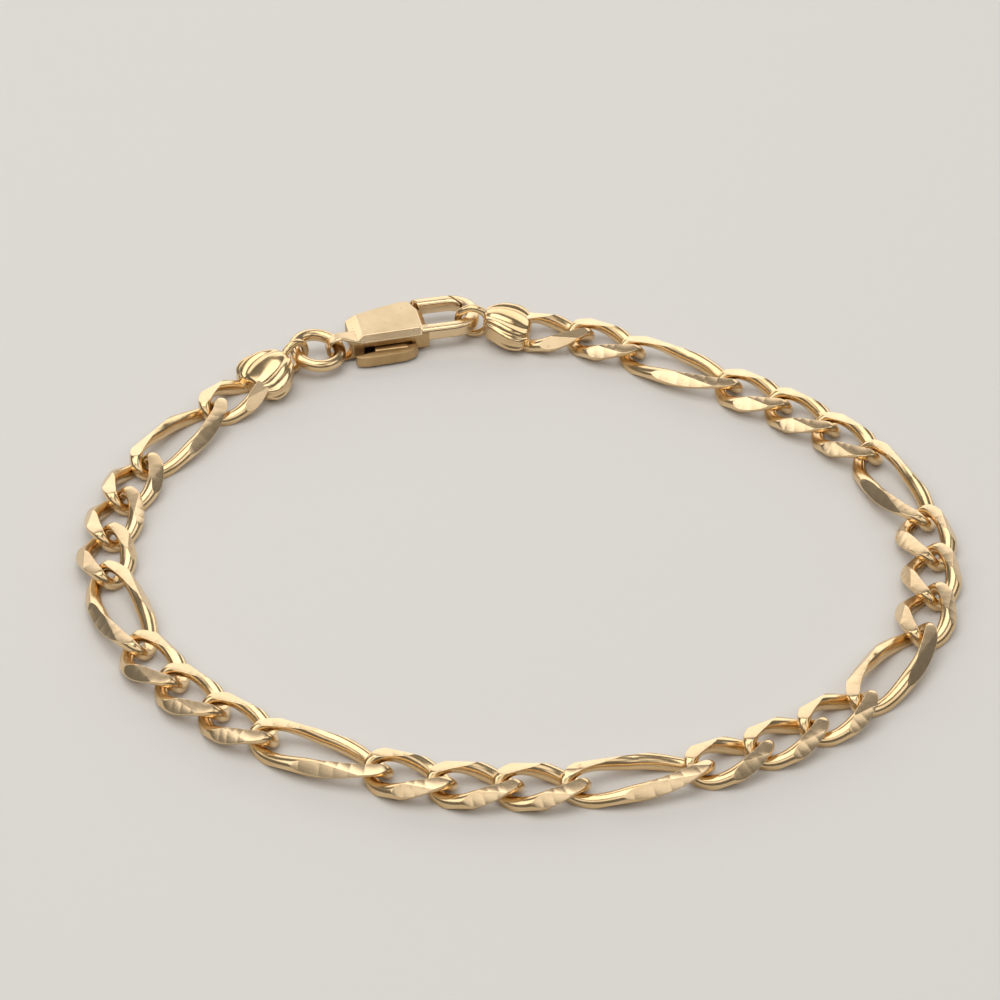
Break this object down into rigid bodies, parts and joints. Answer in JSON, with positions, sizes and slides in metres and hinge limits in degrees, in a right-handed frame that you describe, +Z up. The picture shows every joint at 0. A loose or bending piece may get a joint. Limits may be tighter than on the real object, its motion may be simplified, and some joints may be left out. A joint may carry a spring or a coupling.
{
  "type": "link bracelet",
  "caption": "Gold chain bracelet of twisted, flat-cut long and short oval links, closed in a loop by a lobster clasp on a jump ring.",
  "frame": {"origin": "middle of the bracelet's outline on the surface that it lies on", "axes": "+Z up from that surface; +X across the loop's longer width; +Y towards the clasp"},
  "size_m": [0.0679, 0.0632, 0.0031],
  "materials": {
    "link": "polished gold, flat-cut faces finely scratched",
    "terminal": "polished cast gold with soft ridges",
    "ring": "polished round gold wire, soldered",
    "clasp": "satin gold, worn bright along its bevels",
    "lever": "satin gold, darker thumb tab"
  },
  "bodies": {
    "root": {"long_1": "link", "long_2": "link", "long_3": "link", "long_4": "link", "long_5": "link", "long_6": "link", "long_7": "link", "short_01": "link", "short_02": "link", "short_03": "link", "short_04": "link", "short_05": "link", "short_06": "link", "short_07": "link", "short_08": "link", "short_09": "link", "short_10": "link", "short_11": "link", "short_12": "link", "short_13": "link", "short_14": "link", "short_15": "link", "short_16": "link", "short_17": "link", "short_18": "link", "short_19": "link", "terminal_left": "terminal", "terminal_right": "terminal", "jump_ring": "ring", "clasp_body": "clasp", "clasp_pin": "clasp"},
    "lever": {"clasp_lever": "lever"}
  },
  "joints": [
    {"name": "lever_hinge", "type": "hinge", "parent": "root", "child": "lever", "pos_m": [-0.01101, 0.02817, 0.001], "axis": [0, 0, -1], "range_deg": [0, 10], "stiffness_Nm_per_rad": 0.002, "springref_deg": -11.46}
  ]
}
